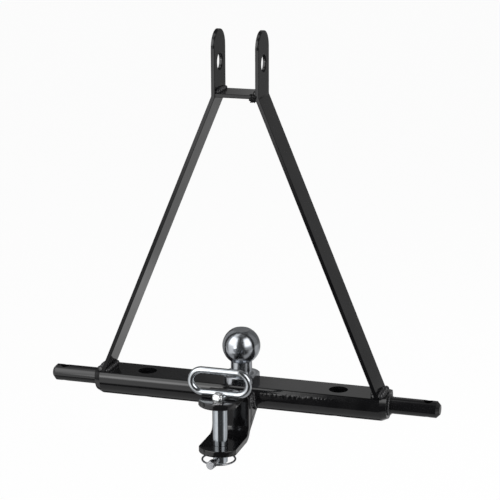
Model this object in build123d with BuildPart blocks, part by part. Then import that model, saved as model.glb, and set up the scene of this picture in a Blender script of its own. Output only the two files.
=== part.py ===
from build123d import *
from math import asin, atan2, cos, degrees, radians, sin, sqrt, tan
import os

# Three-point linkage drawbar: an A-frame on a crossbar, with a 50 mm tow ball
# and a clevis that holds a drop pin. Millimetres, X along the bar, -Y to the
# towed side, +Z up. The origin is midway between the two lower pins, on their axis.

# Crossbar, a round bar with a flat milled along its top
bar_length = 400.0
bar_radius = 25.0
bar_axis_z = 3.5
flat_z = 14.0
end_chamfer_length = 8.0
end_chamfer_depth = 3.5
bar_hole_dia = 25.0
bar_hole_spacing = 264.0
spot_face_dia = 42.0
spot_face_z = -14.5
cut_past = 5.0

# Lower linkage pins, welded on the ends of the bar
lower_pin_dia = 22.0
lower_pin_length = 67.0
lower_pin_chamfer = 4.5
root_shoulder_dia = 23.0
root_shoulder_length = 4.0
linch_hole_dia = 12.0
linch_hole_from_tip = 16.0
root_bead_leg = 3.5
bead_bulge = 0.22

# Straps of the A-frame, each one bent flat with an ear at its top
strap_thickness = 5.0
strap_width = 44.5
ear_gap = 53.0
ear_top_z = 478.5
ear_bore_z = 437.0
ear_bore_dia = 22.5
bend_z = 395.5
bend_inner_radius = 6.0
foot_from_end = 9.5
foot_bead_leg = 7.0
foot_bead_inset = 1.0

# Spacer plate between the ears
spacer_thickness = 5.0
spacer_top_z = 399.5
spacer_bead_leg = 4.5
spacer_bead_inset = 3.0

# Clevis, one flat bent to a U, on the towed side of the bar
clevis_thickness = 8.0
clevis_width = 50.0
clevis_gap = 55.0
clevis_top_z = 20.5
clevis_back_y = -41.0
clevis_bend_radius = 11.0
hitch_pin_y = -91.5
nose_past_half_width = 3.0

# Gussets between the back of the clevis and the bar
gusset_thickness = 6.0
gusset_inset = 1.5
gusset_top_z = 9.0
gusset_heel_y = -5.0
gusset_toe_y = -40.0
gusset_toe_z = -43.0
gusset_bead_leg = 5.0
gusset_bead_arc = 70.0
seam_bead_start_y = -45.0
seam_bead_end_y = -31.0
seam_bead_height = 3.0
seam_bead_top_z = 8.0
seam_bead_foot_z = -9.0

# Tow ball with its flange, shank, lock washer and nut
ball_dia = 50.0
ball_height = 48.0
ball_flat_dia = 23.0
neck_dia = 28.0
flange_dia = 50.0
flange_thickness = 10.0
flange_across_flats = 42.0
neck_root_radius = 5.0
shank_dia = 20.0
shank_clearance = 0.25
washer_dia = 33.0
washer_thickness = 4.5
washer_slot = 2.5
nut_across_flats = 30.0
nut_height = 16.0
thread_showing = 3.0
edge_break = 1.0

# Drop pin with its loop handle
hitch_pin_dia = 19.0
hitch_pin_clearance = 0.09
hitch_pin_rise = 2.3
hitch_pin_end_z = -67.0
hitch_pin_chamfer = 1.5
tab_width = 12.0
tab_depth = 7.5
tab_height = 8.5
tab_chamfer = 2.0
tab_clearance = 0.4
handle_wire_dia = 9.0
handle_length = 86.0
handle_height = 38.5
handle_saddle = 1.0
handle_bead_leg = 3.0

# Lynch pin through the lower end of the drop pin, with its closed ring
lynch_z = -61.0
lynch_dia = 6.5
lynch_clearance = 0.09
lynch_heading = 8.0
lynch_head_reach = 26.0
lynch_head_dia = 11.0
lynch_head_length = 10.0
lynch_tail = 14.0
lynch_tip_chamfer = 1.0
ring_outer_dia = 45.0
ring_wire_dia = 2.5
ring_hole_clearance = 0.2

os.makedirs("parts", exist_ok=True)

# Sizes that follow from the ones above
half_bar = bar_length / 2
end_radius = bar_radius - end_chamfer_depth
foot_outer_x = half_bar - foot_from_end
ear_outer_x = ear_gap / 2 + strap_thickness
strap_angle = atan2(foot_outer_x - ear_outer_x, bend_z - flat_z)
foot_inner_x = foot_outer_x - strap_thickness / cos(strap_angle)
bend_inner_z = bend_z - strap_thickness * tan(strap_angle / 2)
clevis_under_z = clevis_top_z - clevis_thickness
jaw_floor_z = clevis_under_z - clevis_gap
clevis_foot_z = jaw_floor_z - clevis_thickness
nose_radius = clevis_width / 2 + nose_past_half_width
nose_y = hitch_pin_y - nose_radius
nose_corner_y = hitch_pin_y - sqrt(nose_radius**2 - (clevis_width / 2) ** 2)
jaw_back_y = clevis_back_y - clevis_thickness
gusset_outer_x = clevis_width / 2 - gusset_inset
ball_z = flat_z + ball_height
flange_top_z = flat_z + flange_thickness
nut_top_z = spot_face_z - washer_thickness
nut_foot_z = nut_top_z - nut_height
loop_radius = (handle_height - handle_wire_dia) / 2
loop_straight = handle_length - handle_height
wire_radius = handle_wire_dia / 2
handle_base_z = clevis_top_z + hitch_pin_rise + wire_radius - handle_saddle
ring_radius = (ring_outer_dia - ring_wire_dia) / 2

# The lynch pin's own frame: X out along its shank to the head, Y across it, Z up
lynch_plane = Plane(
    origin=(0, hitch_pin_y, lynch_z),
    x_dir=(-sin(radians(lynch_heading)), -cos(radians(lynch_heading)), 0),
    z_dir=(0, 0, 1),
)


def bead_section(corner, along_a, along_b, leg):
    """A fillet weld's section: two straight legs from the corner and a bulged face."""
    start = (corner[0] + along_a[0] * leg, corner[1] + along_a[1] * leg)
    end = (corner[0] + along_b[0] * leg, corner[1] + along_b[1] * leg)
    middle = ((start[0] + end[0]) / 2, (start[1] + end[1]) / 2)
    crown = tuple(m + (m - c) * bead_bulge for m, c in zip(middle, corner))
    with BuildSketch(mode=Mode.PRIVATE) as section:
        with BuildLine():
            Line(corner, start)
            ThreePointArc(start, crown, end)
            Line(end, corner)
        make_face()
    return section.sketch


def mirrored(piece):
    """The same piece on the other end of the bar."""
    return piece.mirror(Plane.YZ)


def save(piece, name):
    piece.label = name
    export_step(piece, f"parts/{name}.step")
    print(name, round(piece.volume), len(piece.solids()))


# Crossbar
with BuildPart() as crossbar:
    with BuildSketch(Plane.XZ):
        with BuildLine():
            Polyline(
                (-half_bar, bar_axis_z),
                (-half_bar, bar_axis_z + end_radius),
                (-half_bar + end_chamfer_length, bar_axis_z + bar_radius),
                (half_bar - end_chamfer_length, bar_axis_z + bar_radius),
                (half_bar, bar_axis_z + end_radius),
                (half_bar, bar_axis_z),
                close=True,
            )
        make_face()
    revolve(axis=Axis((0, 0, bar_axis_z), (1, 0, 0)))
    with BuildSketch(Plane.XY.offset(flat_z)):
        Rectangle(bar_length + 2 * cut_past, 2 * (bar_radius + cut_past))
    extrude(amount=bar_radius, mode=Mode.SUBTRACT)
    with Locations((0, 0, flat_z)):
        with GridLocations(bar_hole_spacing, 0, 2, 1):
            Hole(bar_hole_dia / 2)
        Hole(shank_dia / 2 + shank_clearance)
    with BuildSketch(Plane.XY.offset(spot_face_z)):
        Circle(spot_face_dia / 2)
    extrude(amount=-bar_radius, mode=Mode.SUBTRACT)
save(crossbar.part, "crossbar")

# Lower linkage pins
with BuildPart() as lower_pin_right:
    with BuildSketch(Plane.YZ.offset(half_bar)):
        Circle(lower_pin_dia / 2)
    extrude(amount=lower_pin_length)
    with BuildSketch(Plane.YZ.offset(half_bar)):
        Circle(root_shoulder_dia / 2)
    extrude(amount=root_shoulder_length)
    tip = lower_pin_right.faces().sort_by(Axis.X)[-1]
    chamfer(tip.edges(), length=lower_pin_chamfer)
    with Locations((half_bar + lower_pin_length - linch_hole_from_tip, 0, lower_pin_dia / 2)):
        Hole(linch_hole_dia / 2)
save(lower_pin_right.part, "lower_pin_right")
save(mirrored(lower_pin_right.part), "lower_pin_left")

# Weld at the root of each lower pin
with BuildPart() as pin_root_weld_right:
    with BuildSketch(Plane.XZ):
        add(bead_section((half_bar, root_shoulder_dia / 2), (1, 0), (0, 1), root_bead_leg))
    revolve(axis=Axis.X)
save(pin_root_weld_right.part, "pin_root_weld_right")
save(mirrored(pin_root_weld_right.part), "pin_root_weld_left")

# Straps
with BuildPart() as right_strap:
    with BuildSketch(Plane.XZ) as strap_profile:
        with BuildLine():
            Polyline(
                (foot_outer_x, flat_z),
                (ear_outer_x, bend_z),
                (ear_outer_x, ear_top_z),
                (ear_gap / 2, ear_top_z),
                (ear_gap / 2, bend_inner_z),
                (foot_inner_x, flat_z),
                close=True,
            )
        make_face()
        corners = strap_profile.vertices()
        outside_bend = corners.sort_by_distance((ear_outer_x, bend_z, 0))[0]
        fillet(outside_bend, bend_inner_radius)
        corners = strap_profile.vertices()
        inside_bend = corners.sort_by_distance((ear_gap / 2, bend_inner_z, 0))[0]
        fillet(inside_bend, bend_inner_radius + strap_thickness)
    extrude(amount=strap_width / 2, both=True)
    with BuildSketch(Plane.YZ):
        ear_round_z = ear_top_z - strap_width / 2
        with Locations((0, ear_round_z)):
            Circle(strap_width / 2)
        with Locations((0, ear_round_z)):
            Rectangle(strap_width, ear_round_z, align=(Align.CENTER, Align.MAX))
    extrude(amount=half_bar, mode=Mode.INTERSECT)
    with BuildSketch(Plane.YZ):
        with Locations((0, ear_bore_z)):
            Circle(ear_bore_dia / 2)
    extrude(amount=half_bar, mode=Mode.SUBTRACT)
save(right_strap.part, "right_strap")
save(mirrored(right_strap.part), "left_strap")

# Welds along both sides of each strap foot
down_strap = (sin(strap_angle), -cos(strap_angle))
up_strap = (-down_strap[0], -down_strap[1])
bead_half = strap_width / 2 - foot_bead_inset
with BuildPart() as foot_weld_outer_right:
    with BuildSketch(Plane.XZ):
        add(bead_section((foot_outer_x, flat_z), (1, 0), up_strap, foot_bead_leg))
    extrude(amount=bead_half, both=True)
save(foot_weld_outer_right.part, "foot_weld_outer_right")
save(mirrored(foot_weld_outer_right.part), "foot_weld_outer_left")
with BuildPart() as foot_weld_inner_right:
    with BuildSketch(Plane.XZ):
        add(bead_section((foot_inner_x, flat_z), (-1, 0), up_strap, foot_bead_leg))
    extrude(amount=bead_half, both=True)
save(foot_weld_inner_right.part, "foot_weld_inner_right")
save(mirrored(foot_weld_inner_right.part), "foot_weld_inner_left")

# Spacer plate and the welds at its two ends
with BuildPart() as spacer_plate:
    with BuildSketch(Plane.XY.offset(spacer_top_z)):
        Rectangle(ear_gap, strap_width)
    extrude(amount=-spacer_thickness)
save(spacer_plate.part, "spacer_plate")
spacer_bead_half = strap_width / 2 - spacer_bead_inset
with BuildPart() as spacer_weld_right:
    with BuildSketch(Plane.XZ):
        add(bead_section((ear_gap / 2, spacer_top_z), (-1, 0), (0, 1), spacer_bead_leg))
    extrude(amount=spacer_bead_half, both=True)
save(spacer_weld_right.part, "spacer_weld_right")
save(mirrored(spacer_weld_right.part), "spacer_weld_left")

# Clevis: the U in side view, then its plan with the rounded noses and the pin's bores
outer_bend = clevis_bend_radius + clevis_thickness
with BuildPart() as clevis:
    with BuildSketch(Plane.YZ.offset(-clevis_width / 2)):
        with BuildLine():
            FilletPolyline(
                (nose_y, clevis_top_z),
                (clevis_back_y, clevis_top_z),
                (clevis_back_y, clevis_foot_z),
                (nose_y, clevis_foot_z),
                radius=outer_bend,
            )
            Line((nose_y, clevis_foot_z), (nose_y, jaw_floor_z))
            FilletPolyline(
                (nose_y, jaw_floor_z),
                (jaw_back_y, jaw_floor_z),
                (jaw_back_y, clevis_under_z),
                (nose_y, clevis_under_z),
                radius=clevis_bend_radius,
            )
            Line((nose_y, clevis_under_z), (nose_y, clevis_top_z))
        make_face()
    extrude(amount=clevis_width)
    with BuildSketch(Plane.XY.offset(clevis_foot_z)):
        with BuildLine():
            Line((clevis_width / 2, nose_corner_y), (clevis_width / 2, clevis_back_y))
            Line((clevis_width / 2, clevis_back_y), (-clevis_width / 2, clevis_back_y))
            Line((-clevis_width / 2, clevis_back_y), (-clevis_width / 2, nose_corner_y))
            ThreePointArc(
                (-clevis_width / 2, nose_corner_y),
                (0, nose_y),
                (clevis_width / 2, nose_corner_y),
            )
        make_face()
    extrude(amount=clevis_top_z - clevis_foot_z, mode=Mode.INTERSECT)
    with Locations((0, hitch_pin_y, clevis_top_z)):
        Hole(hitch_pin_dia / 2 + hitch_pin_clearance)
save(clevis.part, "clevis")

# Gussets, fitted to the back of the clevis and to the round of the bar
with BuildPart() as gusset_right:
    with BuildSketch(Plane.YZ.offset(gusset_outer_x)):
        with BuildLine():
            Polyline(
                (jaw_back_y, gusset_top_z),
                (-end_radius, gusset_top_z),
                (gusset_heel_y, bar_axis_z),
                (gusset_heel_y, bar_axis_z - sqrt(bar_radius**2 - gusset_heel_y**2)),
                (gusset_toe_y, gusset_toe_z),
                (jaw_back_y, gusset_toe_z),
                close=True,
            )
        make_face()
        with Locations((0, bar_axis_z)):
            Circle(bar_radius, mode=Mode.SUBTRACT)
        with BuildLine():
            FilletPolyline(
                (nose_y, clevis_top_z),
                (clevis_back_y, clevis_top_z),
                (clevis_back_y, clevis_foot_z),
                (nose_y, clevis_foot_z),
                radius=outer_bend,
            )
            Line((nose_y, clevis_foot_z), (nose_y, clevis_top_z))
        make_face(mode=Mode.SUBTRACT)
    extrude(amount=-gusset_thickness)
save(gusset_right.part, "gusset_right")
save(mirrored(gusset_right.part), "gusset_left")

# Welds of the clevis: a ridge over each side seam, and a fillet round the bar at each gusset
with BuildPart() as clevis_weld_right:
    with BuildSketch(Plane.XY.offset(seam_bead_foot_z)):
        with BuildLine():
            seam_start = (clevis_width / 2, seam_bead_start_y)
            seam_end = (gusset_outer_x, seam_bead_end_y)
            seam_middle_y = (seam_bead_start_y + seam_bead_end_y) / 2
            seam_crown = (clevis_width / 2 + seam_bead_height, seam_middle_y)
            ThreePointArc(seam_start, seam_crown, seam_end)
            Polyline(
                seam_end,
                (gusset_outer_x, clevis_back_y),
                (clevis_width / 2, clevis_back_y),
                seam_start,
            )
        make_face()
    extrude(amount=seam_bead_top_z - seam_bead_foot_z)
save(clevis_weld_right.part, "clevis_weld_right")
save(mirrored(clevis_weld_right.part), "clevis_weld_left")
with BuildPart() as gusset_weld_right:
    with BuildSketch(Plane.XY.offset(bar_axis_z)):
        gusset_corner = (gusset_outer_x, -bar_radius)
        add(bead_section(gusset_corner, (1, 0), (0, -1), gusset_bead_leg))
    bead_top = degrees(asin((gusset_top_z - bar_axis_z) / (bar_radius + gusset_bead_leg)))
    revolve(axis=Axis((0, 0, bar_axis_z), (1, 0, 0)), revolution_arc=gusset_bead_arc)
gusset_weld = gusset_weld_right.part.rotate(Axis((0, 0, bar_axis_z), (1, 0, 0)), -bead_top)
save(gusset_weld, "gusset_weld_right")
save(mirrored(gusset_weld), "gusset_weld_left")

# Tow ball
shank_end_z = nut_foot_z - thread_showing
neck_top_z = ball_z - sqrt(ball_dia**2 - neck_dia**2) / 2
crown_z = ball_z + sqrt(ball_dia**2 - ball_flat_dia**2) / 2
with BuildPart() as tow_ball:
    with BuildSketch(Plane.XZ):
        with BuildLine():
            Polyline(
                (0, crown_z),
                (0, shank_end_z),
                (shank_dia / 2 - edge_break, shank_end_z),
                (shank_dia / 2, shank_end_z + edge_break),
                (shank_dia / 2, flat_z),
                (flange_dia / 2, flat_z),
                (flange_dia / 2, flange_top_z - edge_break),
                (flange_dia / 2 - edge_break, flange_top_z),
                (neck_dia / 2 + neck_root_radius, flange_top_z),
            )
            RadiusArc(
                (neck_dia / 2 + neck_root_radius, flange_top_z),
                (neck_dia / 2, flange_top_z + neck_root_radius),
                neck_root_radius,
            )
            Line((neck_dia / 2, flange_top_z + neck_root_radius), (neck_dia / 2, neck_top_z))
            ThreePointArc(
                (neck_dia / 2, neck_top_z),
                (ball_dia / 2, ball_z),
                (ball_flat_dia / 2, crown_z),
            )
            Line((ball_flat_dia / 2, crown_z), (0, crown_z))
        make_face()
    revolve(axis=Axis.Z)
    with BuildSketch(Plane.XY.offset(flat_z)):
        for side in (-1, 1):
            with Locations((side * (flange_across_flats + flange_dia) / 2, 0)):
                Rectangle(flange_dia, flange_dia)
    extrude(amount=flange_thickness, mode=Mode.SUBTRACT)
save(tow_ball.part, "tow_ball")

# Spring lock washer and nut under the bar
with BuildPart() as ball_lock_washer:
    with BuildSketch(Plane.XY.offset(spot_face_z)):
        Circle(washer_dia / 2)
        Circle(shank_dia / 2 + shank_clearance, mode=Mode.SUBTRACT)
        with Locations((0, -washer_dia / 2)):
            Rectangle(washer_slot, washer_dia, mode=Mode.SUBTRACT)
    extrude(amount=-washer_thickness)
save(ball_lock_washer.part, "ball_lock_washer")
with BuildPart() as ball_nut:
    with BuildSketch(Plane.XY.offset(nut_top_z)):
        RegularPolygon(nut_across_flats / 2, 6, major_radius=False)
        Circle(shank_dia / 2, mode=Mode.SUBTRACT)
    extrude(amount=-nut_height)
save(ball_nut.part, "ball_nut")

# Drop pin: its shank, the tab in front of the handle, the handle's saddle and the cross bore
pin_top_z = clevis_top_z + hitch_pin_rise
handle_plane = Plane(origin=(0, hitch_pin_y, handle_base_z), x_dir=(1, 0, 0), z_dir=(0, -1, 0))
with BuildPart() as pin_handle:
    with BuildLine(handle_plane) as loop:
        half = loop_straight / 2
        Line((-half, 0), (half, 0))
        ThreePointArc((half, 0), (half + loop_radius, loop_radius), (half, 2 * loop_radius))
        Line((half, 2 * loop_radius), (-half, 2 * loop_radius))
        ThreePointArc((-half, 2 * loop_radius), (-half - loop_radius, loop_radius), (-half, 0))
    with BuildSketch(Plane(origin=loop.line @ 0, z_dir=loop.line % 0)):
        Circle(wire_radius)
    sweep()
save(pin_handle.part, "pin_handle")
with BuildPart() as hitch_pin:
    with BuildSketch(Plane.XY.offset(hitch_pin_end_z)):
        with Locations((0, hitch_pin_y)):
            Circle(hitch_pin_dia / 2)
    extrude(amount=pin_top_z - hitch_pin_end_z)
    chamfer(hitch_pin.faces().sort_by(Axis.Z)[0].edges(), length=hitch_pin_chamfer)
    with BuildSketch(Plane.XY.offset(clevis_top_z + tab_clearance)):
        with Locations((0, hitch_pin_y - wire_radius)):
            Rectangle(tab_width, tab_depth, align=(Align.CENTER, Align.MAX))
    tab = extrude(amount=tab_height)
    tab_top = tab.faces().sort_by(Axis.Z)[-1]
    chamfer(tab_top.edges().filter_by(Axis.Y) + tab_top.edges().sort_by(Axis.Y)[:1], length=tab_chamfer)
    add(pin_handle.part, mode=Mode.SUBTRACT)
    with BuildSketch(Plane(origin=lynch_plane.origin, z_dir=lynch_plane.x_dir)):
        Circle(lynch_dia / 2 + lynch_clearance)
    extrude(amount=hitch_pin_dia, both=True, mode=Mode.SUBTRACT)
save(hitch_pin.part, "hitch_pin")

# Weld behind the handle, on top of the drop pin
with BuildPart() as handle_weld:
    with BuildSketch(Plane.YZ):
        with BuildLine():
            Polyline(
                (hitch_pin_y, pin_top_z),
                (hitch_pin_y + wire_radius + handle_bead_leg, pin_top_z),
                (hitch_pin_y + wire_radius, pin_top_z + handle_bead_leg),
                (hitch_pin_y, pin_top_z + handle_bead_leg),
                close=True,
            )
        make_face()
        with Locations((hitch_pin_y, handle_base_z)):
            Circle(wire_radius, mode=Mode.SUBTRACT)
    extrude(amount=tab_width / 2, both=True)
save(handle_weld.part, "handle_weld")

# Lynch pin and its ring
head_radius = lynch_head_dia / 2
ring_sagitta = ring_radius - sqrt(ring_radius**2 - head_radius**2)
ring_bore_radius = ring_wire_dia / 2 + ring_sagitta + ring_hole_clearance
with BuildPart() as lynch_pin:
    with BuildSketch(lynch_plane):
        with BuildLine():
            Polyline(
                (-lynch_tail, 0),
                (-lynch_tail, lynch_dia / 2 - lynch_tip_chamfer),
                (-lynch_tail + lynch_tip_chamfer, lynch_dia / 2),
                (lynch_head_reach - lynch_head_length / 2, lynch_dia / 2),
                (lynch_head_reach - lynch_head_length / 2, head_radius),
                (lynch_head_reach + lynch_head_length / 2 - edge_break, head_radius),
                (lynch_head_reach + lynch_head_length / 2, head_radius - edge_break),
                (lynch_head_reach + lynch_head_length / 2, 0),
                close=True,
            )
        make_face()
    revolve(axis=Axis(lynch_plane.origin, lynch_plane.x_dir))
    head_centre = lynch_plane.from_local_coords(Vector(lynch_head_reach, 0, 0))
    with BuildSketch(Plane(origin=head_centre, z_dir=lynch_plane.y_dir)):
        Circle(ring_bore_radius)
    extrude(amount=lynch_head_dia, both=True, mode=Mode.SUBTRACT)
save(lynch_pin.part, "lynch_pin")
ring_centre = lynch_plane.from_local_coords(Vector(lynch_head_reach - ring_radius, 0, 0))
with BuildPart(Plane(origin=ring_centre)) as lynch_ring:
    Torus(ring_radius, ring_wire_dia / 2)
save(lynch_ring.part, "lynch_ring")
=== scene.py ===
from math import cos, pi, radians, sin, sqrt

import bmesh
import bpy
from mathutils import Matrix, Vector, noise


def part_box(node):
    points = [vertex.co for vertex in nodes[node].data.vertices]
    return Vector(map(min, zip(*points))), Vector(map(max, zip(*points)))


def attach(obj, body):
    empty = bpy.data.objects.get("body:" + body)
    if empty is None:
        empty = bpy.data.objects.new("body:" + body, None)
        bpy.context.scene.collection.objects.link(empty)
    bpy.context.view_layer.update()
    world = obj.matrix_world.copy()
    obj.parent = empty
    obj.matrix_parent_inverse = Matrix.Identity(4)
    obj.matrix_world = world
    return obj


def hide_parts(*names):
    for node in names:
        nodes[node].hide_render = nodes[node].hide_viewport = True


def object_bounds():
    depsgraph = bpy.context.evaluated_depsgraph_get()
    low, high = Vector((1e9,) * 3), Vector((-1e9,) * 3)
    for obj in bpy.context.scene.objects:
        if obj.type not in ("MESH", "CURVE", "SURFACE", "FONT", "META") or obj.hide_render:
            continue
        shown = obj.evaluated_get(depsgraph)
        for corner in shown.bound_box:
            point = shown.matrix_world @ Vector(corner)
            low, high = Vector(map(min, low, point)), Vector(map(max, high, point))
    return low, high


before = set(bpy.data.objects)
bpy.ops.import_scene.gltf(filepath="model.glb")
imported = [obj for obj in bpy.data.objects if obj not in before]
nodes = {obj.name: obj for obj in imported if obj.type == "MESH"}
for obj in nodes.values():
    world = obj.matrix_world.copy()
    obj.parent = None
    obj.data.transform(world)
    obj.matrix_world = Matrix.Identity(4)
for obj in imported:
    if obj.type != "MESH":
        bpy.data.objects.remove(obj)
cadLow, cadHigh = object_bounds()
scene = bpy.context.scene
mm = 0.001


# small helpers for materials

def newMaterial(name):
    mat = bpy.data.materials.new(name)
    mat.use_nodes = True
    tree = mat.node_tree
    return mat, tree, tree.links, tree.nodes["Principled BSDF"]


def objectPlace(tree):
    coords = tree.nodes.get("Texture Coordinate") or tree.nodes.new("ShaderNodeTexCoord")
    return coords.outputs["Object"]


def splitPlace(tree):
    split = tree.nodes.new("ShaderNodeSeparateXYZ")
    tree.links.new(objectPlace(tree), split.inputs["Vector"])
    return split.outputs


def addNoise(tree, scale, detail=3.0, rough=0.5, place=None):
    tex = tree.nodes.new("ShaderNodeTexNoise")
    tex.inputs["Scale"].default_value = scale
    tex.inputs["Detail"].default_value = detail
    tex.inputs["Roughness"].default_value = rough
    tree.links.new(place or objectPlace(tree), tex.inputs["Vector"])
    return tex.outputs["Fac"]


def remap(tree, value, low, high, fromLow=0.35, fromHigh=0.65):
    node = tree.nodes.new("ShaderNodeMapRange")
    node.inputs["From Min"].default_value = fromLow
    node.inputs["From Max"].default_value = fromHigh
    node.inputs["To Min"].default_value = low
    node.inputs["To Max"].default_value = high
    tree.links.new(value, node.inputs["Value"])
    return node.outputs["Result"]


def blendColours(tree, value, first, second):
    node = tree.nodes.new("ShaderNodeMix")
    node.data_type = "RGBA"
    node.inputs["A"].default_value = (*first, 1)
    node.inputs["B"].default_value = (*second, 1)
    tree.links.new(value, node.inputs["Factor"])
    return node.outputs["Result"]


def addBump(tree, height, strength, distance, after=None):
    bump = tree.nodes.new("ShaderNodeBump")
    bump.inputs["Strength"].default_value = strength
    bump.inputs["Distance"].default_value = distance
    tree.links.new(height, bump.inputs["Height"])
    if after:
        tree.links.new(after, bump.inputs["Normal"])
    return bump.outputs["Normal"]


def addMath(tree, operation, *values):
    node = tree.nodes.new("ShaderNodeMath")
    node.operation = operation
    for slot, value in zip(node.inputs, values):
        if isinstance(value, (int, float)):
            slot.default_value = value
        else:
            tree.links.new(value, slot)
    return node.outputs["Value"]


def softWindow(tree, value, low, high, soft):
    edges = []
    for start, end in ((low - soft, low + soft), (high + soft, high - soft)):
        step = tree.nodes.new("ShaderNodeMapRange")
        step.interpolation_type = "SMOOTHSTEP"
        step.inputs["From Min"].default_value = start
        step.inputs["From Max"].default_value = end
        tree.links.new(value, step.inputs["Value"])
        edges.append(step.outputs["Result"])
    return addMath(tree, "MULTIPLY", *edges)


# black gloss enamel: nearly black, with orange peel, long runs in the paint and uneven gloss
# painted shade: within reach of y to either side of the middle, and of height z where one is given,
# the paint mirrors less, which paints dark lines along edges and a dark strip on the gussets by the
# clevis
# sag: a streak of sagged paint on the bar's front
enamel = dict(tones=((0.003, 0.003, 0.0035), (0.006, 0.006, 0.0065)), patchSize=28, glossSize=64.4,
              runSize=68, ior=1.58, shine=0.5, shadeLineFade=(0.75, 1.15))
plateKind = dict(smooth=0.07, dull=0.13, peelSize=260, peelDepth=0.014 * mm, runDepth=0.05 * mm,
                 stretch=1.0)
enamelKinds = {
    "barEnamel": dict(smooth=0.06, dull=0.11, peelSize=210, peelDepth=0.010 * mm,
                      runDepth=0.10 * mm, stretch=0.28,
                      # painted shade: a dark line along the front and back edges of the bar's flat
                      shadeLine=dict(y=22.69 * mm, z=14 * mm, reach=1.2 * mm, shine=0.08),
                      sag=dict(x=(30 * mm, 128 * mm), z=(3.5 * mm, 8.5 * mm), softX=9 * mm,
                               softZ=1.5 * mm, size=190, depth=0.45 * mm)),
    "strapEnamel": dict(smooth=0.08, dull=0.14, peelSize=240, peelDepth=0.014 * mm,
                        runDepth=0.03 * mm, stretch=1.0,
                        # painted shade: a dark line along the straps' front and back edges
                        shadeLine=dict(y=22.25 * mm, reach=0.4 * mm, shine=0.18)),
    "plateEnamel": plateKind,
    # painted shade: a dark line along the spacer's front and back edges
    "spacerEnamel": dict(plateKind, shadeLine=dict(y=22.25 * mm, reach=0.4 * mm, shine=0.16)),
    # painted shade: a dark strip on the gussets by the clevis seam, where shade falls
    "gussetEnamel": dict(plateKind, shadeLine=dict(y=41 * mm, reach=13 * mm, shine=0.08)),
    "weldEnamel": dict(smooth=0.14, dull=0.30, peelSize=300, peelDepth=0.020 * mm,
                       runDepth=0.05 * mm, stretch=1.0,
                       tones=((0.012, 0.012, 0.013), (0.040, 0.040, 0.042))),
}


def addSag(tree, sag, after):
    place = splitPlace(tree)
    inside = addMath(tree, "MULTIPLY", softWindow(tree, place["X"], *sag["x"], sag["softX"]),
                     softWindow(tree, place["Z"], *sag["z"], sag["softZ"]))
    lumps = addMath(tree, "MULTIPLY", addNoise(tree, sag["size"], 2), inside)
    return addBump(tree, lumps, 1.0, sag["depth"], after)


# painted shade: the paint's mirror level drops near the given edges, which paints a dark line there
def paintShadeLine(tree, shadeLine):
    place = splitPlace(tree)
    gap = addMath(tree, "SUBTRACT", shadeLine["y"], addMath(tree, "ABSOLUTE", place["Y"]))
    if "z" in shadeLine:
        above = addMath(tree, "SUBTRACT", place["Z"], shadeLine["z"])
        squares = [addMath(tree, "MULTIPLY", side, side) for side in (gap, above)]
        gap = addMath(tree, "SQRT", addMath(tree, "ADD", *squares))
    near, far = (shadeLine["reach"] * share for share in enamel["shadeLineFade"])
    return remap(tree, gap, shadeLine["shine"], enamel["shine"], near, far)


def makeEnamel(name):
    kind = enamelKinds[name]
    mat, tree, links, shader = newMaterial(name)
    patches = remap(tree, addNoise(tree, enamel["patchSize"], 4), 0, 1)
    tones = kind.get("tones", enamel["tones"])
    links.new(blendColours(tree, patches, *tones), shader.inputs["Base Color"])
    gloss = remap(tree, addNoise(tree, enamel["glossSize"], 5), kind["smooth"], kind["dull"])
    links.new(gloss, shader.inputs["Roughness"])
    pull = tree.nodes.new("ShaderNodeMapping")
    pull.inputs["Scale"].default_value = (kind["stretch"], 1, 1)
    links.new(objectPlace(tree), pull.inputs["Vector"])
    runs = addNoise(tree, enamel["runSize"], 2, place=pull.outputs["Vector"])
    finish = addBump(tree, runs, 1.0, kind["runDepth"])
    finish = addBump(tree, addNoise(tree, kind["peelSize"], 2), 1.0, kind["peelDepth"], finish)
    if "sag" in kind:
        finish = addSag(tree, kind["sag"], finish)
    links.new(finish, shader.inputs["Normal"])
    shader.inputs["IOR"].default_value = enamel["ior"]
    # painted shade line, where the kind gives one
    if "shadeLine" in kind:
        links.new(paintShadeLine(tree, kind["shadeLine"]), shader.inputs["Specular IOR Level"])
    return mat


# bright ball steel: turned, with fine rings about the vertical and faint handling marks
ballSteel = dict(colour=(0.57, 0.595, 0.63), shade=(0.45, 0.47, 0.50), smooth=0.15, dull=0.24,
                 markSize=60, markRough=0.6, markRange=(0.3, 0.7), ringPitch=900,
                 ringDepth=0.012 * mm, ringStrength=0.35)


def makeBallSteel():
    mat, tree, links, shader = newMaterial("turnedBallSteel")
    height = tree.nodes.new("ShaderNodeCombineXYZ")
    links.new(splitPlace(tree)["Z"], height.inputs["Z"])
    rings = addNoise(tree, ballSteel["ringPitch"], 3, place=height.outputs["Vector"])
    marks = addNoise(tree, ballSteel["markSize"], 5, ballSteel["markRough"])
    share = remap(tree, marks, 0, 1, *ballSteel["markRange"])
    links.new(blendColours(tree, share, ballSteel["shade"], ballSteel["colour"]),
              shader.inputs["Base Color"])
    links.new(remap(tree, marks, ballSteel["smooth"], ballSteel["dull"]),
              shader.inputs["Roughness"])
    links.new(addBump(tree, rings, ballSteel["ringStrength"], ballSteel["ringDepth"]),
              shader.inputs["Normal"])
    shader.inputs["Metallic"].default_value = 1
    return mat


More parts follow.
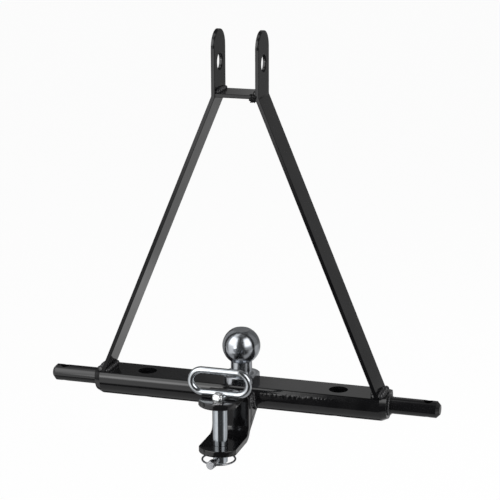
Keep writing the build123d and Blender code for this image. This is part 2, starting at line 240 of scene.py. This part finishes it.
# plated steel: bright zinc or chrome, set by its numbers
platingCloud = dict(size=90, detail=4, rough=0.6, grainStrength=0.3)
plating = {
    "brightPin": dict(colour=(0.61, 0.65, 0.69), shade=(0.50, 0.54, 0.58), smooth=0.10, dull=0.20,
                      grain=260, depth=0.012 * mm),
    # painted highlight: the lump that joins handle and pin is made much paler than the wire
    "brazedLump": dict(colour=(0.86, 0.87, 0.89), shade=(0.70, 0.71, 0.74), smooth=0.16, dull=0.30,
                       grain=420, depth=0.05 * mm),
    "brightWire": dict(colour=(0.66, 0.69, 0.72), shade=(0.55, 0.58, 0.61), smooth=0.13, dull=0.22,
                       grain=180, depth=0.02 * mm),
    "satinZinc": dict(colour=(0.55, 0.56, 0.58), shade=(0.42, 0.43, 0.45), smooth=0.30, dull=0.46,
                      grain=500, depth=0.03 * mm),
    "springWire": dict(colour=(0.42, 0.43, 0.45), shade=(0.30, 0.31, 0.33), smooth=0.24, dull=0.38,
                       grain=400, depth=0.02 * mm),
    "nutZinc": dict(colour=(0.50, 0.51, 0.50), shade=(0.38, 0.39, 0.38), smooth=0.34, dull=0.50,
                    grain=350, depth=0.03 * mm),
}


def makePlating(name):
    kind = plating[name]
    mat, tree, links, shader = newMaterial(name)
    cloud = addNoise(tree, platingCloud["size"], platingCloud["detail"], platingCloud["rough"])
    links.new(blendColours(tree, remap(tree, cloud, 0, 1), kind["shade"], kind["colour"]),
              shader.inputs["Base Color"])
    links.new(remap(tree, cloud, kind["dull"], kind["smooth"]), shader.inputs["Roughness"])
    grain = addNoise(tree, kind["grain"], 3)
    links.new(addBump(tree, grain, platingCloud["grainStrength"], kind["depth"]),
              shader.inputs["Normal"])
    shader.inputs["Metallic"].default_value = 1
    return mat


# the drop pin's tab, above the clevis, is rougher and painted paler as a painted highlight, and its
# bumps make it look rounded and uneven
pinHead = dict(above=21.0 * mm, colour=(0.93, 0.94, 0.95), rough=0.26, lumpSize=330,
               depth=0.9 * mm, lean=0.30, flatHalf=2.0 * mm, round=85.0)


def makePinFinish():
    mat = makePlating("brightPin")
    tree = mat.node_tree
    links = tree.links
    shader = tree.nodes["Principled BSDF"]
    place = splitPlace(tree)
    head = addMath(tree, "GREATER_THAN", place["Z"], pinHead["above"])
    # painted highlight: above the clevis the base colour is made near white, and the roughness
    # higher
    headHighlightAndRoughness = {"Base Color": pinHead["colour"], "Roughness": (pinHead["rough"],) * 3}
    for slotName, pale in headHighlightAndRoughness.items():
        mix = tree.nodes.new("ShaderNodeMix")
        mix.data_type = "RGBA"
        mix.inputs["B"].default_value = (*pale, 1)
        links.new(shader.inputs[slotName].links[0].from_socket, mix.inputs["A"])
        links.new(head, mix.inputs["Factor"])
        links.new(mix.outputs["Result"], shader.inputs[slotName])
    lumps = addMath(tree, "MULTIPLY", addNoise(tree, pinHead["lumpSize"], 1), pinHead["depth"])
    aside = addMath(tree, "SUBTRACT", addMath(tree, "ABSOLUTE", place["X"]), pinHead["flatHalf"])
    over = addMath(tree, "MAXIMUM", aside, 0.0)
    roundOff = addMath(tree, "MULTIPLY", addMath(tree, "MULTIPLY", over, over), -pinHead["round"])
    leaning = addMath(tree, "MULTIPLY_ADD", place["Z"], -pinHead["lean"], roundOff)
    height = addMath(tree, "MULTIPLY", addMath(tree, "ADD", lumps, leaning), head)
    plain = shader.inputs["Normal"].links[0].from_socket
    links.new(addBump(tree, height, 1.0, 1.0, plain), shader.inputs["Normal"])
    return mat


paints = {name: makeEnamel(name) for name in enamelKinds}
finishes = {name: makePlating(name) for name in plating}
print("materials made")


# finish of the CAD nodes; the welds that aren't named here get the weld enamel

nodeFinish = {
    "crossbar": paints["barEnamel"],
    "lower_pin_left": paints["barEnamel"],
    "lower_pin_right": paints["barEnamel"],
    "left_strap": paints["strapEnamel"],
    "right_strap": paints["strapEnamel"],
    "spacer_plate": paints["spacerEnamel"],
    "clevis": paints["plateEnamel"],
    "gusset_left": paints["gussetEnamel"],
    "gusset_right": paints["gussetEnamel"],
    "tow_ball": makeBallSteel(),
    "ball_lock_washer": finishes["nutZinc"],
    "ball_nut": finishes["nutZinc"],
    "hitch_pin": makePinFinish(),
    "pin_handle": finishes["brightWire"],
    "handle_weld": finishes["brightWire"],
    "lynch_pin": finishes["satinZinc"],
    "lynch_ring": finishes["springWire"],
}


def paint(piece, finish):
    piece.data.materials.clear()
    piece.data.materials.append(finish)


for nodeName, node in nodes.items():
    paint(node, nodeFinish.get(nodeName, paints["weldEnamel"]))
print("CAD nodes painted:", len(nodes))

# sharp edges of the plates and straps are rounded a little, as rolling and paint round them
mergeWithin = 0.001 * mm
plateEdge = dict(width=0.7 * mm, segments=3, limit=50)
strapEdge = dict(width=0.55 * mm, segments=4, limit=30)
edgeLook = {
    "spacer_plate": plateEdge,
    "clevis": dict(plateEdge, width=0.8 * mm),
    "gusset_left": plateEdge,
    "gusset_right": plateEdge,
    "left_strap": strapEdge,
    "right_strap": strapEdge,
}
for nodeName, look in edgeLook.items():
    weld = nodes[nodeName].modifiers.new("joinedEdges", "WELD")
    weld.merge_threshold = mergeWithin
    bevel = nodes[nodeName].modifiers.new("paintedEdge", "BEVEL")
    bevel.width = look["width"]
    bevel.segments = look["segments"]
    bevel.limit_method = "ANGLE"
    bevel.angle_limit = radians(look["limit"])
    bevel.use_clamp_overlap = False
    bevel.harden_normals = True


# helpers for built pieces

def makePiece(name, verts, faces, finish):
    mesh = bpy.data.meshes.new(name)
    mesh.from_pydata([tuple(v) for v in verts], [], faces)
    mesh.validate()
    work = bmesh.new()
    work.from_mesh(mesh)
    bmesh.ops.recalc_face_normals(work, faces=work.faces)
    work.to_mesh(mesh)
    work.free()
    for face in mesh.polygons:
        face.use_smooth = True
    piece = bpy.data.objects.new(name, mesh)
    scene.collection.objects.link(piece)
    paint(piece, finish)
    return piece


def ringFaces(rows, ring, closed=False, capped=False):
    # quads between rows of ring points each
    faces = []
    for i in range(rows if closed else rows - 1):
        a, b = i * ring, (i + 1) % rows * ring
        for j in range(ring):
            k = (j + 1) % ring
            faces.append((a + j, a + k, b + k, b + j))
    if capped:
        faces.append(tuple(range(ring))[::-1])
        faces.append(tuple(range((rows - 1) * ring, rows * ring)))
    return faces


# weld beads: a row of ripples along a corner
# crest is the height of the rounding, fixed share first, then the share that follows the ripple
# from an open end the bead grows from endSize to its full size over endRun legs
# the steps and planes say where in the noise the jitter and the lean are read
weldLook = dict(ripple=3.6 * mm, fewest=3, depth=0.42, steps=12, across=12, bulge=0.34,
                crest=(0.8, 0.3), endRun=1.2, endSize=0.45, jitter=0.22, jitterStep=1.7,
                seedStep=3.1, jitterPlane=0.5, lean=0.12, leanStep=0.6, leanPlane=2.0)


def makeBead(name, station, length, leg, seed, closed=False, pitch=weldLook["ripple"],
             depth=weldLook["depth"]):
    # station(t) gives the corner and the two directions of the bead's legs, t from 0 to 1
    look = weldLook
    ripples = max(look["fewest"], round(length / pitch))
    count = ripples * look["steps"]
    across = look["across"]
    rows = count if closed else count + 1
    verts = []
    for i in range(rows):
        t = i / count
        corner, legA, legB = station(t)
        phase = t * ripples
        index, part = int(phase) % ripples, phase - int(phase)
        wobble = noise.noise(Vector((index * look["jitterStep"] + seed, seed * look["seedStep"],
                                     look["jitterPlane"])))
        swell = 1 - depth * (1 - sqrt(max(0.0, 1 - (2 * part - 1) ** 2)))
        size = leg * swell * (1 + look["jitter"] * wobble)
        if not closed:
            endGap = max(0.0, min(t, 1 - t) * length)
            grown = sqrt(endGap / (look["endRun"] * leg)) * (1 - look["endSize"])
            size *= min(1.0, grown + look["endSize"])
        drift = noise.noise(Vector((phase * look["leanStep"], seed, look["leanPlane"])))
        lean = look["lean"] * drift
        start = corner + legA * (size * (1 + lean))
        end = corner + legB * (size * (1 - lean))
        outward = (legA + legB).normalized()
        crest = look["bulge"] * (look["crest"][0] + look["crest"][1] * swell)
        for j in range(across + 1):
            s = j / across
            rise = 4 * s * (1 - s) * (end - start).length * crest
            verts.append(start.lerp(end, s) + outward * rise)
        verts.append(corner)
    return makePiece(name, verts, ringFaces(rows, across + 2, closed, not closed),
                     paints["weldEnamel"])


def straightStation(first, last, legA, legB):
    first, last = Vector(first), Vector(last)
    return lambda t: (first.lerp(last, t), Vector(legA).normalized(), Vector(legB).normalized())


def beadOnNode(nodeName, bead):
    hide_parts(nodeName)
    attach(bead, "frame")


sides = {"left": -1, "right": 1}
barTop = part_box("crossbar")[1]
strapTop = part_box("right_strap")[1]
plateLow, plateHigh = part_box("spacer_plate")

# strap feet: one bead on each side of each foot
footLook = dict(leg=6.6 * mm, inset=1.6 * mm, earThickness=5 * mm, strapBendZ=395.5 * mm,
                pitch=5.8 * mm, depth=0.42, seedStep=100)
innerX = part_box("foot_weld_inner_right")[1].x
strapRun = Vector((strapTop.x - plateHigh.x - footLook["earThickness"], 0,
                   barTop.z - footLook["strapBendZ"]))
upStrap = -strapRun.normalized()
for side, sign in sides.items():
    halfWidth = strapTop.y - footLook["inset"]
    rise = Vector((upStrap.x * sign, 0, upStrap.z))
    for place, x, out in (("outer", strapTop.x, 1), ("inner", innerX, -1)):
        name = "foot_weld_%s_%s" % (place, side)
        station = straightStation((x * sign, -halfWidth, barTop.z), (x * sign, halfWidth, barTop.z),
                                  (out * sign, 0, 0), rise)
        beadOnNode(name, makeBead(name + "_bead", station, 2 * halfWidth, footLook["leg"],
                                  x * footLook["seedStep"] * sign + out,
                                  pitch=footLook["pitch"], depth=footLook["depth"]))

# spacer ends, with a rough lump of weld at the right front corner
spacerLook = dict(leg=4.6 * mm, inset=2.5 * mm, seed=7)
cornerLump = dict(inwards=2.6 * mm, back=2.2 * mm, below=3.6 * mm,
                  radii=(4.8 * mm, 3.6 * mm, 5.0 * mm), rough=1.0, lumpSize=2.2 * mm,
                  rings=40, around=64)


def addCornerLump(bead, corner):
    look = cornerLump
    middle = corner + Vector((-look["inwards"], look["back"], -look["below"]))
    work = bmesh.new()
    work.from_mesh(bead.data)
    found = bmesh.ops.create_uvsphere(work, u_segments=look["around"], v_segments=look["rings"],
                                      radius=1.0)
    for vert in found["verts"]:
        spot = Vector([a * b for a, b in zip(vert.co, look["radii"])])
        lump = look["rough"] * noise.noise((middle + spot) / look["lumpSize"])
        vert.co = middle + spot * (1 + lump)
    for face in work.faces:
        face.smooth = True
    work.to_mesh(bead.data)
    work.free()


for side, sign in sides.items():
    halfWidth = plateHigh.y - spacerLook["inset"]
    name = "spacer_weld_" + side
    station = straightStation((plateHigh.x * sign, -halfWidth, plateHigh.z),
                              (plateHigh.x * sign, halfWidth, plateHigh.z),
                              (-sign, 0, 0), (0, 0, 1))
    bead = makeBead(name + "_bead", station, 2 * halfWidth, spacerLook["leg"],
                    spacerLook["seed"] * sign)
    if side == "right":
        addCornerLump(bead, Vector((plateHigh.x, plateLow.y, plateHigh.z)))
        paint(bead, paints["spacerEnamel"])
    beadOnNode(name, bead)

# lower pin roots: a bead all round
rootLook = dict(leg=2.5 * mm, depth=0.14, seed=11)
pinLow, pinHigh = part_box("lower_pin_right")
pinRadius = (pinHigh.z - pinLow.z) / 2


def rootStation(sign):
    def station(t):
        angle = 2 * pi * t
        outward = Vector((0, cos(angle), sin(angle)))
        corner = Vector((pinLow.x * sign, 0, 0)) + outward * pinRadius
        return corner, Vector((sign, 0, 0)), outward
    return station


for side, sign in sides.items():
    name = "pin_root_weld_" + side
    beadOnNode(name, makeBead(name + "_bead", rootStation(sign), 2 * pi * pinRadius,
                              rootLook["leg"], rootLook["seed"] * sign, closed=True,
                              depth=rootLook["depth"]))

# gussets to the bar: a bead round the bar's front and underside, angles in degrees
gussetLook = dict(leg=3.2 * mm, barAxisZ=3.5 * mm, top=10.5, sweep=70, seed=17)
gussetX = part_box("gusset_right")[1].x


def gussetStation(sign):
    def station(t):
        angle = radians(gussetLook["top"] - t * gussetLook["sweep"])
        outward = Vector((0, -cos(angle), sin(angle)))
        corner = Vector((gussetX * sign, 0, gussetLook["barAxisZ"])) + outward * barTop.y
        return corner, Vector((sign, 0, 0)), outward
    return station


for side, sign in sides.items():
    name = "gusset_weld_" + side
    length = barTop.y * radians(gussetLook["sweep"])
    beadOnNode(name, makeBead(name + "_bead", gussetStation(sign), length, gussetLook["leg"],
                              gussetLook["seed"] * sign))

# clevis seams: rough lumps laid round the corner of the clevis and each gusset
seamLook = dict(height=3.0 * mm, even=0.72, rough=1.25, lumpSize=2.1 * mm, backY=-41 * mm,
                endSize=0.12, endRise=5, steps=64, across=28, plane=0.01)
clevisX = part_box("clevis")[1].x


def makeSeam(name, sign):
    low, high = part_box(name)
    steps, across = seamLook["steps"], seamLook["across"]
    verts = []
    for i in range(steps + 1):
        t = i / steps
        z = low.z + (high.z - low.z) * t
        fade = sqrt(min(1.0, seamLook["endSize"] + min(t, 1 - t) * seamLook["endRise"]))
        for j in range(across + 1):
            u = j / across
            y = low.y + (high.y - low.y) * u
            lump = noise.noise(Vector((y, z, seamLook["plane"] * sign)) / seamLook["lumpSize"])
            dome = sqrt(max(0.0, 1 - (2 * u - 1) ** 2))
            rise = seamLook["height"] * dome * fade * (seamLook["even"] + seamLook["rough"] * lump)
            verts.append(((clevisX + (gussetX - clevisX) * u + rise) * sign, y, z))
        verts.append((gussetX * sign, seamLook["backY"], z))
        verts.append((clevisX * sign, seamLook["backY"], z))
    return makePiece(name + "_bead", verts, ringFaces(steps + 1, across + 3, capped=True),
                     paints["weldEnamel"])


for side, sign in sides.items():
    beadOnNode("clevis_weld_" + side, makeSeam("clevis_weld_" + side, sign))
print("weld beads made")

# the lump that joins the handle to the head of the drop pin: a rounded block, a little uneven
lumpLook = dict(square=0.55, uneven=0.10, sunk=0.5, lumpSize=3.0 * mm, rings=28, around=48)


def squared(value):
    return abs(value) ** lumpLook["square"] * (1 if value > 0 else -1)


def makeLump():
    low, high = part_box("handle_weld")
    middle, half = (low + high) / 2, (high - low) / 2
    rings, around = lumpLook["rings"], lumpLook["around"]
    verts = []
    for i in range(rings + 1):
        lift = pi * (i / rings - 0.5)
        for j in range(around):
            turn = 2 * pi * j / around
            spot = Vector((squared(cos(lift)) * squared(cos(turn)) * half.x,
                           squared(cos(lift)) * squared(sin(turn)) * half.y,
                           squared(sin(lift)) * half.z))
            bumpy = noise.noise((middle + spot) / lumpLook["lumpSize"]) - lumpLook["sunk"]
            verts.append(middle + spot * (1 + lumpLook["uneven"] * bumpy))
    # the lump's pale finish is a painted highlight
    lump = makePiece("handle_lump", verts, ringFaces(rings + 1, around), finishes["brazedLump"])
    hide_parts("handle_weld")
    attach(lump, "drop_pin")


makeLump()


# camera at the photograph's angle: angles in degrees, distance in metres

cameraLook = dict(azimuth=17.24, elevation=15.2, roll=-0.2, distance=2.442, focalPixels=1846.7,
                  originPixel=(241.6, 389.9), imageSize=500, sensor=36.0, clipEnd=50)


def makeCamera():
    a, e, r = (radians(cameraLook[k]) for k in ("azimuth", "elevation", "roll"))
    right = Vector((cos(a), sin(a), 0))
    forward = Vector((-sin(a) * cos(e), cos(a) * cos(e), -sin(e)))
    down = -right.cross(forward)
    right, down = right * cos(r) - down * sin(r), right * sin(r) + down * cos(r)
    half, focal = cameraLook["imageSize"] / 2, cameraLook["focalPixels"]
    px, py = cameraLook["originPixel"]
    toOrigin = right * ((px - half) / focal) + down * ((py - half) / focal) + forward
    data = bpy.data.cameras.new("photoCamera")
    data.sensor_width = cameraLook["sensor"]
    data.lens = focal / cameraLook["imageSize"] * cameraLook["sensor"]
    data.clip_end = cameraLook["clipEnd"]
    camera = bpy.data.objects.new("photoCamera", data)
    turn = Matrix((right, -down, -forward)).transposed()
    camera.matrix_world = Matrix.Translation(-toOrigin * cameraLook["distance"]) @ turn.to_4x4()
    scene.collection.objects.link(camera)
    scene.camera = camera


makeCamera()


# plain pale floor and white surroundings; no mirror ray sees the floor

floorLook = dict(drop=0.42, size=16.0, colour=(0.80, 0.80, 0.80), rough=0.9, glow=1.0,
                 glowShare=0.94)


def makeFloor():
    half = floorLook["size"] / 2
    z = cadLow.z - floorLook["drop"]
    mesh = bpy.data.meshes.new("floor")
    corners = [(-half, -half, z), (half, -half, z), (half, half, z), (-half, half, z)]
    mesh.from_pydata(corners, [], [(0, 1, 2, 3)])
    floor = bpy.data.objects.new("floor", mesh)
    scene.collection.objects.link(floor)
    mat, tree, links, shader = newMaterial("paleFloor")
    shader.inputs["Base Color"].default_value = (*floorLook["colour"], 1)
    shader.inputs["Roughness"].default_value = floorLook["rough"]
    glow = tree.nodes.new("ShaderNodeEmission")
    glow.inputs["Strength"].default_value = floorLook["glow"]
    path = tree.nodes.new("ShaderNodeLightPath")
    mix = tree.nodes.new("ShaderNodeMixShader")
    share = addMath(tree, "MULTIPLY", path.outputs["Is Camera Ray"], floorLook["glowShare"])
    links.new(share, mix.inputs["Fac"])
    links.new(shader.outputs["BSDF"], mix.inputs[1])
    links.new(glow.outputs["Emission"], mix.inputs[2])
    links.new(mix.outputs["Shader"], tree.nodes["Material Output"].inputs["Surface"])
    paint(floor, mat)
    floor.visible_glossy = False


# white where the camera or a mirror sees it, weaker where it only lights
worldLook = dict(seen=1.0, fill=0.55)


def makeWorld():
    world = bpy.data.worlds.new("paleStudio")
    scene.world = world
    world.use_nodes = True
    tree = world.node_tree
    rays = tree.nodes.new("ShaderNodeLightPath").outputs
    mirror = addMath(tree, "MAXIMUM", rays["Is Glossy Ray"], rays["Is Transmission Ray"])
    seen = addMath(tree, "MAXIMUM", rays["Is Camera Ray"], mirror)
    background = tree.nodes["Background"]
    background.inputs["Color"].default_value = (1, 1, 1, 1)
    strength = remap(tree, seen, worldLook["fill"], worldLook["seen"], 0, 1)
    tree.links.new(strength, background.inputs["Strength"])


# what the gloss paint and the bright steel mirror: softboxes and dark flags on a drum round the
# object, azimuth 0 is straight in front and 90 is the object's right, all in degrees
# slope runs under the object from straight in front at 0 to straight behind at 180
# azimuth runs once round from turnAt, so the back is at 180 and the back left past it
mirrorDrum = dict(radius=1.8, dark=0.045, turnAt=-150, around=96, rings=48)
softCards = [
    dict(name="leftBox", azimuth=(-70, -12.3), elevation=(6, 57), soft=(3, 10), level=1.9),
    dict(name="leftCore", azimuth=(-28, -12.6), elevation=(-3, 8), soft=(2.5, 5), level=2.9),
    dict(name="leftUpper", azimuth=(-66, -32), elevation=(18, 56), soft=(5, 8), level=0.5),
    dict(name="leftRim", azimuth=(-136, -72), elevation=(-34, 56), soft=(7, 8), level=0.28),
    dict(name="leftCrown", azimuth=(-112, -38), elevation=(60, 84), soft=(8, 6), level=0.9),
    dict(name="leftLow", azimuth=(-68, -18), elevation=(-33, 3), soft=(4, 4), level=0.88),
    dict(name="rightBox", azimuth=(37, 82), elevation=(8, 54), soft=(3, 8), level=2.0),
    dict(name="rightRim", azimuth=(88, 138), elevation=(-34, 56), soft=(9, 8), level=0.24),
    dict(name="rightUpper", azimuth=(46, 76), elevation=(14, 48), soft=(5, 8), level=0.2),
    dict(name="rightLow", azimuth=(40, 86), elevation=(-9, 3), soft=(5, 5), level=0.35),
    dict(name="rightDeep", azimuth=(60, 100), elevation=(-28, -9), soft=(6, 5), level=0.3),
    dict(name="frontFloor", azimuth=(-181, 211), slope=(51, 112), soft=(1, 2), level=0.33),
    dict(name="rearFloor", azimuth=(106, 186), slope=(112, 174), soft=(8, 4), level=0.28),
    dict(name="rearGlow", azimuth=(150, 186), slope=(120, 159.2), soft=(8, 1.5), level=0.28),
    dict(name="rearWall", azimuth=(142, 176), elevation=(-6, 60), soft=(9, 8), level=0.12),
    dict(name="farWall", azimuth=(176, 198), elevation=(-2, 60), soft=(5, 6), level=0.27),
    dict(name="rearLeft", azimuth=(200, 211), elevation=(-2, 60), soft=(3, 6), level=0.04),
    dict(name="overhead", azimuth=(-181, 211), elevation=(68, 91), soft=(1, 8), level=0.12),
]


def makeMirrorDrum():
    mesh = bpy.data.meshes.new("mirrorDrum")
    ball = bmesh.new()
    bmesh.ops.create_uvsphere(ball, u_segments=mirrorDrum["around"],
                              v_segments=mirrorDrum["rings"], radius=mirrorDrum["radius"])
    ball.to_mesh(mesh)
    ball.free()
    drum = bpy.data.objects.new("mirrorDrum", mesh)
    scene.collection.objects.link(drum)
    mat, tree, links = newMaterial("cardsAndFlags")[:3]
    x, y, z = splitPlace(tree)
    height = addMath(tree, "MULTIPLY", z, 1 / mirrorDrum["radius"])
    elevation = addMath(tree, "DEGREES", addMath(tree, "ARCSINE", height))
    front = addMath(tree, "MULTIPLY", y, -1.0)
    below = addMath(tree, "MULTIPLY", z, -1.0)
    azimuth = addMath(tree, "DEGREES", addMath(tree, "ARCTAN2", x, front))
    past = addMath(tree, "LESS_THAN", azimuth, mirrorDrum["turnAt"])
    turned = addMath(tree, "ADD", azimuth, addMath(tree, "MULTIPLY", past, 360))
    slope = addMath(tree, "DEGREES", addMath(tree, "ARCTAN2", below, front))
    total = mirrorDrum["dark"]
    for card in softCards:
        softWide, softTall = card["soft"]
        wide = softWindow(tree, turned, *card["azimuth"], softWide)
        if "slope" in card:
            tall = softWindow(tree, slope, *card["slope"], softTall)
        else:
            tall = softWindow(tree, elevation, *card["elevation"], softTall)
        inside = addMath(tree, "MULTIPLY", wide, tall)
        total = addMath(tree, "MULTIPLY_ADD", inside, card["level"], total)
    glow = tree.nodes.new("ShaderNodeEmission")
    links.new(total, glow.inputs["Strength"])
    links.new(glow.outputs["Emission"], tree.nodes["Material Output"].inputs["Surface"])
    mat.cycles.emission_sampling = "NONE"
    paint(drum, mat)
    for ray in ("camera", "diffuse", "transmission", "volume_scatter", "shadow"):
        setattr(drum, "visible_" + ray, False)


# soft lamps that light the colours; no mirror ray sees them
softLamps = {
    "frontLeft": dict(place=(-1.4, -1.6, 1.3), size=(1.1, 1.5), watts=26),
    "frontRight": dict(place=(1.7, -1.2, 1.0), size=(0.9, 1.3), watts=18),
    "above": dict(place=(0.0, 0.3, 2.2), size=(1.8, 1.2), watts=20),
    "behind": dict(place=(0.9, 1.7, 1.1), size=(0.9, 1.2), watts=12),
}
lampAim = Vector((0, 0, 0.15))


def makeLamps():
    for name, box in softLamps.items():
        data = bpy.data.lights.new(name, "AREA")
        data.shape = "RECTANGLE"
        data.size, data.size_y = box["size"]
        data.energy = box["watts"]
        lamp = bpy.data.objects.new(name, data)
        lamp.location = box["place"]
        lamp.rotation_euler = (lampAim - lamp.location).to_track_quat("-Z", "Y").to_euler()
        lamp.visible_glossy = False
        scene.collection.objects.link(lamp)


makeFloor()
makeWorld()
makeMirrorDrum()
makeLamps()
scene.view_settings.view_transform = "Standard"
print("camera, floor and lights placed")
